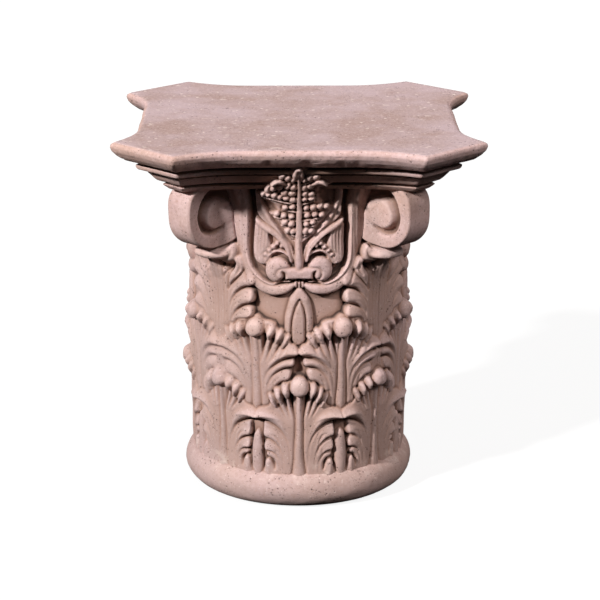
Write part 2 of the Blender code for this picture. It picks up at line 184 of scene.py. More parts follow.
class Relief:
    """Height map in millimetres over two flat directions, also in millimetres."""

    def __init__(self, across, up, unit=1.0):
        self.unit = unit
        self.across, self.up = np.meshgrid(across, up)
        self.stand = np.zeros_like(self.across)
        self.droop = np.zeros_like(self.across)

    def trace(self, path):
        """Points along the smooth path in millimetres, and their share of its length."""
        path = np.asarray(path, dtype=float) * [self.unit, 1.0]
        steps = np.linspace(0, len(path) - 1, STEPS_PER_SPAN * (len(path) - 1) + 1)
        return smooth_line(path, steps), steps / steps[-1]

    def measure(self, local, path, half_widths, reach):
        """Nearest place on the path for each point close by: the distance, the half
        width there, and the place as a share of the path."""
        line, share = self.trace(path)
        widths = spread(half_widths, share)
        x_all = local * self.unit
        low, high = line.min(axis=0) - reach, line.max(axis=0) + reach
        near = (x_all > low[0]) & (x_all < high[0]) & (self.up > low[1]) & (self.up < high[1])
        x = x_all[near][:, None] - line[:-1, 0]
        z = self.up[near][:, None] - line[:-1, 1]
        run = np.diff(line, axis=0)
        along = np.clip((x * run[:, 0] + z * run[:, 1]) / (run ** 2).sum(axis=1), 0, 1)
        gap = np.hypot(x - along * run[:, 0], z - along * run[:, 1])
        wide = widths[:-1] + along * np.diff(widths)
        best = np.argmin(gap / wide, axis=1)
        rows = np.arange(len(best))
        place = share[:-1] + along * np.diff(share)
        return near, gap[rows, best], wide[rows, best], place[rows, best]

    def lay(self, near, inside, outside_gap, fresh, moat, droop):
        """Put fresh relief on top, with a bell-shaped moat dug round it."""
        dug = self.stand[near] - moat * np.exp(-(outside_gap / MOAT_WIDTH) ** 2)
        fresh = np.where(inside, fresh, -np.inf)
        self.droop[near] = np.where(fresh > dug, droop, self.droop[near])
        self.stand[near] = np.maximum(dug, fresh)

    def ridge(self, local, path, half_widths, crests, bluff=2.3, moat=1.6, droop=0.0):
        """Rounded ridge along a path."""
        near, gap, wide, place = self.measure(local, path, half_widths,
                                              max(half_widths) + 3 * MOAT_WIDTH)
        swell = dome(gap / wide, bluff)
        self.lay(near, gap < wide, gap - wide, spread(crests, place) * swell, moat, droop * swell)

    def blade(self, local, outline, stands, roll=2.4, moat=1.6, droop=0.0):
        """Flat shape inside a closed outline, its edge rounded over the roll. A point
        is inside if a line from it to the left crosses the outline an odd number of
        times."""
        outline = [*outline, outline[0]]
        near, gap, wide, place = self.measure(local, outline, [1.0], roll + 3 * MOAT_WIDTH)
        line, share = self.trace(outline)
        x, z = (local[near] * self.unit)[:, None], self.up[near][:, None]
        (x0, z0), (x1, z1) = line[:-1].T, line[1:].T
        lift = np.where(z1 == z0, 1.0, z1 - z0)
        crossings = ((z0 > z) != (z1 > z)) & (x < x0 + (z - z0) * (x1 - x0) / lift)
        inside = crossings.sum(axis=1) % 2 == 1
        climb = (z[:, 0] - line[:, 1].min()) / np.ptp(line[:, 1])
        swell = dome(1 - gap / roll, 2.4)
        self.lay(near, inside, gap, spread(stands, climb) * swell, moat, droop * swell)

    def swell(self, local, path, half_widths, heights, droop=0.0):
        """Soft bell-shaped rise added to what is already raised."""
        near, gap, wide, place = self.measure(local, path, half_widths, 1.8 * max(half_widths))
        bell = np.exp(-1.2 * (gap / wide) ** 2) * np.clip(self.stand[near] / 3, 0, 1)
        self.stand[near] += spread(heights, place) * bell
        self.droop[near] = np.maximum(self.droop[near], droop * bell * place)

    def furrow(self, local, path, half_widths, depths):
        """Groove with a bell-shaped section, cut into what is there."""
        near, gap, wide, place = self.measure(local, path, half_widths, 2 * max(half_widths))
        self.stand[near] -= spread(depths, place) * np.exp(-1.2 * (gap / wide) ** 2)


print("one degree on the drum is", round(MM_PER_DEGREE, 2), "mm")

# %% [markdown]
# The carving repeats. Every leaf is the mirror of itself, and every face of the
# capital is alike, so half of one face is enough: 45 degrees from the middle of the
# front to the corner. Folding the angle gives each family of leaves its own local
# angle, which is 0 on the leaf's own middle line.

# %% Half a face to carve on
MAP_STEP = 0.5
HALF_FACE = 180 / FACES
LEAF_STEP = 360 / LEAVES
DRUM_LOW = 38.0
DRUM_HIGH = 378.0
columns = int(HALF_FACE * MM_PER_DEGREE / MAP_STEP) + 1
rows = int((DRUM_HIGH - DRUM_LOW) / MAP_STEP) + 1
drum = Relief(np.linspace(0, HALF_FACE, columns), np.linspace(DRUM_LOW, DRUM_HIGH, rows),
              unit=MM_PER_DEGREE)
face = drum.across
lower = np.abs((face + LEAF_STEP / 2) % LEAF_STEP - LEAF_STEP / 2)
upper = np.abs(face - LEAF_STEP / 2)
corner = HALF_FACE - face
print("height map:", drum.stand.shape)

# %% [markdown]
# First the things that lie deepest: the smooth tongues between the lower leaves, and
# the pointed bud with its raised rim in the middle of the face. Each line below reads
# as path, half widths, crest heights. A path is in degrees and millimetres of height.

# %% Tongues and pointed bud
gap_middle = LEAF_STEP / 2
drum.furrow(upper, [(gap_middle, 150), (gap_middle, 160), (gap_middle, 183)],
            [2.0, 5.0, 1.6], [1.0, 2.6, 2.6])
drum.ridge(lower, [(gap_middle, 34), (gap_middle, 72), (gap_middle, 84), (gap_middle, 90)],
           [7.6, 7.4, 5.6, 2.0], [6.2, 6.4, 5.8, 4.0], bluff=2.1)
drum.ridge(face, [(0, 205), (0, 226), (0, 243), (0, 260)], [16.4, 15.6, 11.5, 1.5],
           [6.6, 7.0, 6.8, 4.4], bluff=2.8)
drum.ridge(face, [(0, 200), (0, 222), (0, 234), (0, 244)], [7.8, 7.2, 4.8, 0.8],
           [6.2, 6.8, 6.6, 4.4], moat=5.0)
print("deepest and highest:", round(drum.stand.min(), 1), round(drum.stand.max(), 1))

# %% [markdown]
# The tall corner leaf stands behind the two tiers. Its middle is smooth with broad
# flutes, its edge breaks into lobes that point up and outwards, and its tip turns over
# as a cuff under the volute. The lobes go on from the lowest to the highest, because
# each one laps over the one below.

# %% Corner leaf
def arch(root, tip, bend=0.7, points=6):
    """Quarter of a squared ellipse: it leaves the root upwards and reaches the tip
    level. Across goes as 1 less the cosine, up as the sine to the power of the bend."""
    turn = np.linspace(0, np.pi / 2, points)
    across = root[0] + (tip[0] - root[0]) * (1 - np.cos(turn))
    up = root[1] + (tip[1] - root[1]) * np.sin(turn) ** bend
    return list(zip(across, up))


def carve_lobes(local, lobes, veins=2):
    """Lobes of one half leaf. Each has the root and the tip of the furrow below it, the
    furrow's half width and depth at the tip, and the lobe's own width."""
    for root, tip, wide, depth, thick in lobes:
        share = np.linspace(0, 1, 6)
        top = (tip[0] + 0.8, tip[1] + 0.55 * thick)
        drum.swell(local, arch((root[0] + 0.6, root[1] + 8), top), 0.5 * thick * (0.5 + 0.5 * share),
                   0.26 * thick * share, droop=1.6)
        drum.furrow(local, arch(root, tip), wide * (0.45 + 0.55 * share),
                    0.4 + (depth - 0.4) * share ** 1.7)
        for vein in range(1, veins + 1):
            lift = thick * vein / (veins + 1.2)
            start = (root[0] + 1.4 + 0.3 * vein, root[1] + 0.45 * (tip[1] - root[1]) + lift)
            end = (tip[0] - 2.6 - 0.8 * vein, tip[1] + lift)
            drum.furrow(local, arch(start, end), [0.6, 0.8, 0.6], [0.3, 1.5, 0.3])


drum.blade(corner, [(-2, 110), (10, 112), (13, 184), (15.4, 196), (18.2, 201), (19.6, 207),
                    (19.4, 214), (18.0, 218.4), (20.4, 221.8), (21.4, 228), (20.9, 234), (19.2, 237.8),
                    (21.2, 241), (22.2, 247.5), (21.6, 253.8), (19.8, 257.3), (22.2, 260.6),
                    (23.4, 266), (22.9, 271.6), (20.6, 276), (18.2, 277.5), (16.6, 281), (16.0, 289),
                    (12.8, 295), (11.5, 303), (8, 307), (-2, 307)],
           [6.5, 7.0, 8.0, 10.0], roll=2.8, moat=2.2)
carve_lobes(corner, [((7.8, 172), (19.0, 218.6), 1.7, 6.5, 15), ((7.4, 188), (20.0, 238), 1.7, 7.0, 15),
                     ((6.8, 204), (20.8, 257.6), 1.8, 7.5, 15)])
for flute, depth in ((0.0, 1.5), (2.2, 1.2), (4.2, 1.6), (6.0, 1.2)):
    drum.furrow(corner, [(flute * 0.7, 150), (flute, 215), (flute * 1.2, 280)],
                [1.0, 1.5, 1.9], [0.4, depth, depth])
drum.blade(corner, [(7.0, 252), (10.5, 262), (14.6, 271), (16.8, 279), (16.6, 286), (14.6, 293.5),
                    (12.0, 290), (10.4, 280), (8.2, 268)], [9.0, 12.5, 15.0], roll=2.4, moat=2.4,
           droop=1.2)
drum.furrow(corner, [(12.4, 271), (14.6, 279), (13.8, 286)], [1.2, 2.0, 1.2], [1.5, 4.5, 1.5])
drum.blade(corner, [(4.6, 266), (7.6, 276), (11.2, 284), (13.4, 294), (12.6, 302), (10.4, 306),
                    (7.4, 300), (5.0, 290)], [9.5, 14.0, 18.0], roll=2.6, moat=2.0, droop=1.2)
drum.swell(corner, [(-2, 262), (-2, 274), (-2, 286)], [12.0, 15.0, 17.0], [1.5, 5.0, 10.0])
drum.swell(corner, [(2, 262), (2, 274), (2, 286)], [10.0, 12.0, 13.0], [0.5, 2.0, 4.0])
drum.ridge(corner, [(-1.0, 296), (4.0, 295.4), (7.4, 296.2), (9.4, 299)], [8.6, 8.2, 6.8, 4.2],
           [35.0, 33.0, 27.0, 17.0], bluff=2.8, moat=2.6, droop=2.0)
drum.furrow(corner, [(1.5, 285), (4.6, 282), (8.6, 279.5), (11.4, 284)], [2.5, 4.8, 5.4, 3.2],
            [0.8, 10.0, 13.0, 9.0])
print("corner leaf stands", round(drum.stand.max(), 1), "mm")

# %% [markdown]
# Above the bud hangs a pair of flat scrolls with a bar between them. From under them a
# long stalk sweeps out, turns up beside the corner leaf and runs to the volute. A deep
# black groove sets it off from the vase of leaves on the scrolls.

# %% Stalk and scrolls
drum.blade(face, [(14.5, 292), (16.0, 286), (20.0, 285), (23.2, 291), (23.6, 310), (22.8, 333),
                  (17.0, 328), (14.8, 314)], [7.6, 8.6, 9.0], roll=1.6, moat=1.4)
for spread_out in (-1.0, -0.5, 0.0, 0.5, 1.0):
    drum.furrow(face, [(18.6 + 3.4 * spread_out, 330), (18.9 + 3.3 * spread_out, 310),
                       (19.4 + 2.8 * spread_out, 290)], [0.8, 0.9, 0.6], [2.6, 2.8, 0.8])
stalk_path = [(3.0, 262), (8.0, 257.6), (14.0, 257.0), (20.0, 261.5), (24.8, 273), (27.6, 292),
              (28.4, 320), (28.8, 348), (31.0, 370)]
drum.ridge(face, stalk_path, [3.0, 6.4, 7.0, 6.5, 6.0, 6.4, 6.6, 7.6, 8.4],
           [6.0, 8.2, 8.6, 8.6, 8.8, 8.8, 9.4, 10.5, 15.0], bluff=2.8, moat=2.2)
drum.furrow(face, [(17.0, 274), (21.4, 281), (24.2, 292), (24.7, 310), (24.6, 332), (24.4, 376)],
            [1.4, 2.0, 2.3, 2.4, 2.6, 2.6], [3.0, 9.0, 11.0, 11.0, 11.0, 10.0])
drum.ridge(face, [(30.6, 296), (31.6, 318), (32.6, 346), (35.0, 372)], [3.0, 6.5, 9.0, 12.0],
           [5.0, 7.6, 8.6, 12.0], bluff=4.0)
drum.ridge(face, [(4.5, 266.5), (9.0, 266), (14.0, 264.2), (18.6, 268), (22.4, 275), (25.2, 285),
                  (26.3, 300), (26.4, 325), (26.6, 350), (28.6, 366)],
           [0.8, 1.1, 1.2, 1.3, 1.4, 1.5, 1.5, 1.5, 1.4, 1.0],
           [7.0, 9.0, 9.6, 10.2, 10.6, 11.0, 11.2, 11.4, 11.6, 12.0], moat=1.0)
drum.ridge(face, [(10.6, 279.2), (11.2, 279.8)], [14.2, 14.2], [10.4, 10.4], bluff=3.2, moat=2.8)
drum.ridge(face, [(0, 276.2), (8.5, 275.6)], [6.9, 6.6], [9.4, 10.0], bluff=4.0, moat=2.0)
for flute in (0.0, 1.75):
    drum.ridge(face, [(flute, 260), (flute, 266)], [1.7, 1.7], [5.0, 6.0], moat=1.8)
drum.furrow(face, [(0, 268.2), (2.6, 268.0)], [1.8, 1.2], [6.5, 5.0])
turns = np.radians(np.linspace(62, -112, 9))
eye = (10.6, 273.6)
drum.furrow(face, [(eye[0] - 6.8 * np.cos(turn) / MM_PER_DEGREE, eye[1] + 6.8 * np.sin(turn))
                   for turn in turns], [0.9, 1.6, 1.7, 1.7, 1.5, 0.8],
            [0.5, 6.5, 8.0, 8.0, 6.0, 1.5])
print("scroll eyes at plus and minus", eye[0], "degrees")

# %% [markdown]
# The vase between the stalks: a stem in the middle, a long sheath leaf on each side
# with two parallel veins, a second blade below it, and a small bunch of berries in the
# dark hollow over each scroll.

# %% Sheath leaves and small berries
for angle, level, size in ((8.8, 306.0, 2.7), (11.0, 309.4, 3.1), (13.0, 305.2, 3.4),
                           (15.0, 300.8, 3.0), (16.8, 296.0, 2.7)):
    drum.ridge(face, [(angle, level), (angle + 0.1, level + 0.6)], [size, size],
               [10.4, 10.4], bluff=2.0, moat=2.4)
drum.ridge(face, [(4.6, 294), (8.0, 299.6), (12.0, 300.4), (15.6, 295), (17.8, 288)],
           [1.2, 1.7, 1.9, 1.9, 1.2], [8.2, 8.4, 8.4, 8.0, 6.5], moat=1.6)
drum.blade(face, [(2.8, 286), (4.2, 305), (8.6, 318.5), (12.5, 326), (17, 332), (21.4, 340),
                  (22.4, 352), (22.6, 370), (19.6, 372), (19.2, 358), (17.2, 349.5), (14.0, 338.5),
                  (10.0, 327.5), (6.6, 316), (3.6, 307), (2.0, 296), (1.8, 286)],
           [7.6, 8.2, 8.6, 9.0], roll=1.8, moat=1.6)
drum.blade(face, [(4.6, 288), (6.2, 300), (9.4, 310.5), (12.8, 317.5), (17.4, 324), (22.0, 331),
                  (22.8, 337.5), (17, 331.5), (12.3, 325.4), (8.6, 318), (4.4, 305.5), (3.0, 288)],
           [8.8, 9.8, 10.2, 10.6], roll=1.5, moat=1.4)
for shift in (0.9, 1.9):
    drum.furrow(face, [(2.6 + shift * 0.25, 290), (4.2 + shift * 0.7, 304), (8.0 + shift, 316),
                       (12.0 + shift, 327.0), (16.4 + shift, 339), (19.4 + shift, 352), (20.4 + shift * 0.6, 366)],
                [0.6, 0.8, 0.8, 0.8, 0.8, 0.7, 0.6], [1.0, 2.4, 2.6, 2.6, 2.6, 2.4, 0.6])
drum.ridge(face, [(0, 285), (0, 305), (0, 345)], [5.4, 4.0, 3.2], [8.8, 9.8, 10.2], moat=2.2)
print("vase done, highest point", round(drum.stand.max(), 1), "mm")

# %% [markdown]
# Both tiers of acanthus share one recipe. The lobes curl out from the rib and lap from
# the bottom upwards, the widest one ends in a lip that meets its neighbour's, the
# fingers at the top hang over dark hollows, and a ball of a knob closes the tip.

# %% Upper tier
FINGERS = ((6.9, 4.5, 4.7, 14.0), (10.6, 10.0, 4.2, 12.2), (13.8, 16.5, 3.6, 10.0))


def crown(local, level, wide, fall, rib):
    """Top of a leaf about the knob's level: fingers that hang over dark slots, a rounded
    roof over them, the rib and the knob. Wide and fall stretch it across and down. The
    rib is rows of level, half width and crest."""
    for place, drop, half_width, crest in FINGERS[::-1]:
        tip = level - drop * fall
        path = [(1.05 * place * wide, tip + 6), (0.95 * place * wide, tip),
                (0.84 * place * wide, tip - 6.5)]
        drum.ridge(local, path, [half_width, half_width, 0.6 * half_width],
                   [0.9 * crest, crest, 0.9 * crest], bluff=2.2, moat=1.6, droop=2.2)
    for start, end, half_width, depth in (((2.2, -40), (4.2, -11), 2.4, 13.0),
                                          ((4.6, -38), (7.6, -15), 1.6, 9.0),
                                          ((6.6, -38), (10.4, -22), 1.2, 6.0)):
        path = [(start[0] * wide, level + start[1]), (end[0] * wide, level + end[1] * fall)]
        drum.furrow(local, path, [0.4 * half_width, half_width], [0.8, depth])
    drum.swell(local, [(13.4 * wide, level - 17 * fall), (10.8 * wide, level - 8 * fall),
                       (7.0 * wide, level - 1.5 * fall), (0, level + 2)], [4.0, 5.0, 5.0, 5.0],
               [0.4, 2.0, 2.5, 1.0])
    levels, half_widths, crests = zip(*rib)
    drum.ridge(local, [(0, rib_level) for rib_level in levels], half_widths, crests, bluff=2.0, moat=2.8)
    drum.ridge(local, [(0, level - 0.4), (0, level + 1.2)], [10.8, 10.6], [16.6, 16.4], bluff=3.0,
               moat=2.6, droop=1.8)


drum.blade(upper, [(-2, 111), (11.5, 111), (13.2, 134), (15.6, 139), (16.8, 144), (16.4, 148.4),
                   (14.8, 150.6), (16.8, 153.4), (18.2, 158), (18.6, 163), (17.4, 167),
                   (19.6, 169.6), (20.4, 174), (20.4, 178), (21.4, 181), (22.2, 184.4), (22.6, 190),
                   (20.8, 194.4), (18.6, 196.4), (18.0, 202), (16.6, 206.5), (14.6, 211), (11.6, 215),
                   (10.0, 220), (5.0, 222), (-2, 218)],
           [5.6, 6.0, 7.0, 8.0, 7.5], roll=2.4, moat=2.6)
carve_lobes(upper, [((7.4, 112), (15.8, 150.8), 1.6, 6.5, 12), ((5.8, 124), (18.6, 168.2), 1.7, 7.5, 14),
                    ((3.9, 128), (21.4, 181), 2.2, 8.5, 11)], veins=1)
drum.swell(upper, [(7.0, 168), (10.4, 180), (15.0, 186.4), (19.0, 188.6), (22.4, 187.6)],
           [2.4, 3.4, 4.4, 5.0, 4.8], [0.5, 2.2, 3.2, 3.4, 3.0], droop=2.8)
drum.furrow(upper, [(12.4, 181), (14.0, 187), (15.4, 194)], [0.8, 1.2, 1.4], [0.6, 2.6, 3.6])
crown(upper, 212.6, 1.2, 0.85, [(112, 6.8, 6.8), (155, 5.2, 7.4), (206, 3.4, 9.0)])
print("upper knob stands", round(drum.stand.max(), 1), "mm")

# %% [markdown]
# The lower tier is the one nearest the eye. Its three lower lobes curl right round, as
# fern tips do, with the tongue showing between them.

# %% Lower tier
drum.blade(lower, [(-2, 34), (18.4, 34), (18.6, 48), (18.0, 56), (16.4, 59.4), (17.4, 62),
                   (17.4, 65.4), (15.8, 67.6), (18.0, 70.4), (18.7, 75), (18.2, 80), (17.0, 83),
                   (18.4, 86), (19.0, 91), (19.0, 97), (19.3, 102.6), (22.6, 106.6), (22.8, 110),
                   (22.5, 116), (20.6, 119.6), (16.6, 121.6), (15.0, 124.6), (14.6, 131), (13.2, 139),
                   (10.4, 146), (6.4, 152), (0, 155), (-2, 155)],
           [4.4, 4.8, 5.4, 6.4, 8.0], roll=2.4, moat=2.6)
drum.swell(lower, [(16.2, 40), (16.6, 50), (16.0, 56)], [3.4, 3.4, 2.6], [1.6, 1.8, 1.6])
carve_lobes(lower, [((10.4, 42), (16.4, 67.8), 1.4, 6.0, 9), ((8.4, 44), (18.2, 83.4), 1.6, 7.0, 12),
                    ((4.7, 50), (21.0, 103.8), 2.3, 8.5, 12)], veins=1)
drum.furrow(lower, [(17.2, 59.6), (15.0, 58), (13.6, 53), (13.2, 46)], [1.0, 1.6, 1.6, 1.0],
            [4.0, 7.0, 7.0, 3.0])
for root, tip in (((10.2, 66), (16.2, 90)), ((8.8, 72), (16.6, 96))):
    drum.furrow(lower, arch(root, tip), [0.6, 0.8, 0.6], [0.3, 1.4, 0.3])
drum.swell(lower, [(7.6, 96), (11.4, 107), (15.8, 111.6), (19.4, 112.6), (22.5, 111)],
           [2.2, 3.4, 4.4, 4.8, 4.4], [0.6, 3.0, 4.6, 5.0, 4.4], droop=3.0)
crown(lower, 146.0, 1.0, 1.0, [(34, 9.4, 5.8), (60, 6.2, 6.2), (87, 4.8, 6.8), (113, 4.2, 7.6),
                               (139, 3.2, 9.2)])
print("lower tier done")

# %% [markdown]
# A cast loses its crispest edges, so a slight blur goes over the whole map. The
# difference between the map and a wide blur of it tells hollows from edges. It is kept
# beside the heights and later sets the painted shade in the hollows and the paler edges.

# %% Soften and measure the hollows
FLOOR = -3.0
drum.stand = np.maximum(drum.stand, FLOOR)
drum.stand = blur(drum.stand, 0.6 / MAP_STEP)
drum.droop = blur(drum.droop, 0.9 / MAP_STEP)
drum_worn = blur(drum.stand, 2.3 / MAP_STEP)


def hollow_map(stand, step):
    """How far a place lies below its surroundings, as a mix of a near, a middling and a
    far average, in millimetres. Edges come out below 0."""
    around = 0.4 * blur(stand, 1.6 / step) + 0.35 * blur(stand, 4.5 / step)
    return around + 0.25 * blur(stand, 9.0 / step) - stand


drum_hollow = hollow_map(drum.stand, MAP_STEP)
print("hollows down to", round(drum_hollow.max(), 1), "mm")

# %% [markdown]
# A mesh from a grid is the same job for every piece here: points in rows and columns,
# a face between each four neighbours, and flat faces that close the open ends.
# from_pydata takes it all at once. The hollow value goes in as an attribute, from
# which the clay paints its shade.

# %% Mesh from a grid


def grid_faces(rows, columns, closed):
    """Quads between neighbours; the last column joins the first if closed."""
    across = columns if closed else columns - 1
    row, column = np.meshgrid(np.arange(rows - 1), np.arange(across), indexing="ij")
    beside = (column + 1) % columns
    quads = np.stack([row * columns + column, row * columns + beside,
                      (row + 1) * columns + beside, (row + 1) * columns + column], axis=-1)
    return quads.reshape(-1, 4)


def make_piece(name, points, faces, hollow, flat_faces=()):
    """Object with its place in its mesh. Flat faces close it and stay unsmoothed."""
    mesh = bpy.data.meshes.new(name)
    mesh.from_pydata(np.asarray(points).reshape(-1, 3).tolist(), [],
                     [list(map(int, loop)) for loop in faces] + [list(map(int, loop)) for loop in flat_faces])
    smooth = np.ones(len(mesh.polygons), dtype=bool)
    smooth[len(faces):] = False
    mesh.polygons.foreach_set("use_smooth", smooth)
    depth = mesh.attributes.new("hollow", "FLOAT", "POINT")
    depth.data.foreach_set("value", np.asarray(hollow, dtype=np.float32).ravel())
    mesh.validate()
    piece = bpy.data.objects.new(name, mesh)
    bpy.context.scene.collection.objects.link(piece)
    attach(piece, "root")
    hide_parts("capital")
    return piece


def count_triangles(piece):
    """Triangles that the piece's faces split into: corners less two for each face."""
    return sum(len(face.vertices) - 2 for face in piece.data.polygons)


PIECES = []
print("helpers ready")

# %% [markdown]
# Now the map is wrapped round the drum. Each quarter samples the half map, mirrored
# about its middle, at places that the wobble has pushed about by half a millimetre or
# so, which makes every leaf a little different. The droop pulls what stands far out
# downwards, and that undercuts the knobs. The quarters meet at the corners, where the
# carving mirrors, so their shading runs on.

# %% Wrap the drum
DRUM_COLUMNS = 201
DRUM_ROWS = 336
WARP = 0.0009
WARP_SIZE = 0.055
LUMP = 0.00035
MOST_WORN = -62
# Hollow value that lessens the painted shade, on worn parts, the foot, the slab and the volute rims.
LESS_PAINTED_SHADE = -1.5


def read_map(field, angle, level):
    """Value between the four nearest samples of the half map."""
    x = np.clip(angle / HALF_FACE * (columns - 1), 0, columns - 1.001)
    z = np.clip((level - DRUM_LOW) / (DRUM_HIGH - DRUM_LOW) * (rows - 1), 0, rows - 1.001)
    i, j = z.astype(int), x.astype(int)
    u, v = x - j, z - i
    return ((1 - v) * ((1 - u) * field[i, j] + u * field[i, j + 1])
            + v * ((1 - u) * field[i + 1, j] + u * field[i + 1, j + 1]))


def wear(angle, place):
    """Share of the worn map: more on the side that has lost its edges."""
    away = (angle - MOST_WORN + 180) % 360 - 180
    share = 0.18 + 0.30 * wobble(place, 0.12, 6) + 0.55 * np.exp(-(away / 26) ** 2)
    return np.clip(share, 0, 0.85)


def drum_quarter(name, turn):
    """Pie-shaped quarter whose outside is the carved wall."""
    angle, level = np.meshgrid(np.linspace(-HALF_FACE, HALF_FACE, DRUM_COLUMNS),
                               np.linspace(DRUM_LOW, DRUM_HIGH, DRUM_ROWS))
    place = on_drum(angle + turn, level * MM, WALL_RADIUS)
    slide = WARP * wobble(place, WARP_SIZE, 3) / (MM_PER_DEGREE * MM)
    lift = WARP * wobble(place, WARP_SIZE, 4) / MM
    middle = np.abs((angle + slide + HALF_FACE) % (2 * HALF_FACE) - HALF_FACE)
    worn = wear(angle + turn, place)
    stand = ((1 - worn) * read_map(drum.stand, middle, level + lift)
             + worn * read_map(drum_worn, middle, level + lift)) * MM
    droop = read_map(drum.droop, middle, level + lift) * MM
    ease = np.clip((level - DRUM_LOW) / 14, 0, 1) * np.clip((DRUM_HIGH - level) / 10, 0, 1)
    swell = 0.0012 * np.clip((level - 150) / 60, 0, 1)
    radius = WALL_RADIUS + swell + stand + LUMP * wobble(place, 0.03, 5)
    skin = on_drum(angle + turn, level * MM - droop * ease, radius)
    axis_low = [[0, 0, DRUM_LOW * MM]]
    axis_high = [[0, 0, DRUM_HIGH * MM]]
    points = np.vstack([skin.reshape(-1, 3), axis_low, axis_high])
    total = DRUM_ROWS * DRUM_COLUMNS
    low, high = total, total + 1
    first = np.arange(DRUM_ROWS) * DRUM_COLUMNS
    last = first + DRUM_COLUMNS - 1
    bottom = np.arange(DRUM_COLUMNS)
    top = bottom + total - DRUM_COLUMNS
    caps = [[*bottom[::-1], low], [*top, high], [*first, high, low], [*last[::-1], low, high]]
    # The hollow value sets the painted shade in the clay; the worn side gets less of it.
    depth = (1 - worn) * read_map(drum_hollow, middle, level + lift)
    depth += LESS_PAINTED_SHADE * np.clip(worn - 0.3, 0, 1)
    return make_piece(name, points, grid_faces(DRUM_ROWS, DRUM_COLUMNS, False),
                      np.append(depth.ravel(), [0, 0]), caps)


for quarter, side_name in enumerate(("front", "right", "back", "left")):
    PIECES.append(drum_quarter(f"carved_drum_{side_name}", quarter * 90))
print("triangles in a quarter:", count_triangles(PIECES[0]))

# %% [markdown]
# The foot is a turned half round. It could be a torus, but a profile carried round by
# numpy lets it carry the same hand-made wobble and a soft joint to the leaves.

# %% Foot
FOOT_COLUMNS = 300
FOOT_RADIUS = 0.1314
foot_half = FOOT_TOP / 2


def foot():
    """Half circle section from the middle of the underside up to the drum wall."""
    swing = np.radians(np.linspace(-90, 90, 40))
    radii = np.concatenate([FOOT_RADIUS - foot_half + foot_half * np.cos(swing),
                            [WALL_RADIUS - 0.004, WALL_RADIUS - 0.010]])[:, None]
    levels = np.concatenate([foot_half + foot_half * np.sin(swing),
                             [FOOT_TOP + 0.0003, FOOT_TOP - 0.002]])[:, None]
    turn = np.arange(FOOT_COLUMNS) * 360 / FOOT_COLUMNS
    ring = on_drum(turn, levels, radii)
    push = 0.0006 * wobble(ring, 0.07, 8) + 0.0002 * wobble(ring, 0.014, 9)
    ring = on_drum(turn, levels, radii + push * np.clip(levels / 0.006, 0, 1))
    top = np.arange(FOOT_COLUMNS) + (len(levels) - 1) * FOOT_COLUMNS
    bottom = np.arange(FOOT_COLUMNS)[::-1]
    # Painted shade where the top of the foot runs in under the leaves; the round gets a little less.
    joint_shade = 0.6 * LESS_PAINTED_SHADE + 2.6 * np.clip((levels - 0.040) / 0.004, 0, 1)
    depth = np.broadcast_to(joint_shade, ring.shape[:2])
    return make_piece("foot", ring, grid_faces(len(levels), FOOT_COLUMNS, True), depth,
                      [bottom, top])


PIECES.append(foot())
print("foot triangles:", count_triangles(PIECES[-1]))

# %% [markdown]
# The abacus is the slab on top. Seen from above each side is straight in the middle
# and bends out to a horn that a 45 degree face cuts off. Below the slab run a fillet,
# a round ovolo and a last thin band. So the piece is a section of setbacks and heights,
# carried along true parallels of the outline.

# %% Outline of the abacus
WAIST = 0.177
SIDE_HALF = 0.132
STRAIGHT_HALF = 0.060
SIDE_STATIONS = 98
CUT_STATIONS = 36


def abacus_outline(setback):
    """Parallel of the plan outline: the side is a line and then a parabola, moved in
    along its normal, and the cut is a line at 45 degrees, moved in as well."""
    flare = (REACH - WAIST) / (SIDE_HALF - STRAIGHT_HALF) ** 2
    along = np.linspace(0, SIDE_HALF * 1.3, 900)
    bend = np.clip(along - STRAIGHT_HALF, 0, None)
    out = WAIST + flare * bend ** 2
    slope = 2 * flare * bend
    length = np.sqrt(1 + slope ** 2)
    inner_along, inner_out = along + setback * slope / length, out - setback / length
    tip = np.interp(SIDE_HALF + REACH - setback * np.sqrt(2), inner_along + inner_out, along)
    stations = np.linspace(0, tip, SIDE_STATIONS // 2 + 1)
    x = np.interp(stations, along, inner_along)
    y = np.interp(stations, along, inner_out)
    side = np.stack([np.concatenate([-x[:0:-1], x]), -np.concatenate([y[:0:-1], y])], axis=1)
    blend = np.linspace(0, 1, CUT_STATIONS + 1)[1:-1, None]
    start, end = side[-1], np.array([-side[0][1], side[0][0]])
    quarter = np.vstack([side, start + (end - start) * blend])
    plan = []
    for turn in range(FACES):
        plan.append(quarter)
        quarter = np.stack([-quarter[:, 1], quarter[:, 0]], axis=1)
    return np.vstack(plan)


print("outline points:", len(abacus_outline(0.0)))

# %% [markdown]
# The section is short runs between corners. Reading it at even steps and averaging
# neighbours rounds each arris by about a millimetre, as a mould does. The slab's edge
# is nibbled here and there, which is a stronger push inwards where a wobble peaks.

# %% Abacus
SECTION_STEP = 0.00092
SECTION = ((0.062, 0.0), (0.0525, 0.0), (0.0500, 0.0014), (0.0464, 0.0046), (0.0450, 0.0064),
           (0.0492, 0.0072), (0.0492, 0.0090), (0.0436, 0.0096), (0.0402, 0.0110),
           (0.0374, 0.0136), (0.0346, 0.0170), (0.0318, 0.0200), (0.0356, 0.0206),
           (0.0356, 0.0226), (0.0242, 0.0230), (0.0222, 0.0246), (0.0214, 0.0284),
           (0.0262, 0.0290), (0.0262, 0.0310), (0.0186, 0.0318), (0.0112, 0.0346),
           (0.0056, 0.0392), (0.0018, 0.0440), (0.0003, 0.0486), (0.0012, 0.0518),
           (0.0050, 0.0539), (0.0100, 0.0542), (0.0240, 0.0542))
CHIPS = ((0.009, 0.0365, 0.0060, 0.0032), (-0.031, 0.0375, 0.0040, 0.0016),
         (0.062, 0.0385, 0.0034, 0.0014), (-0.104, 0.0400, 0.0040, 0.0018))


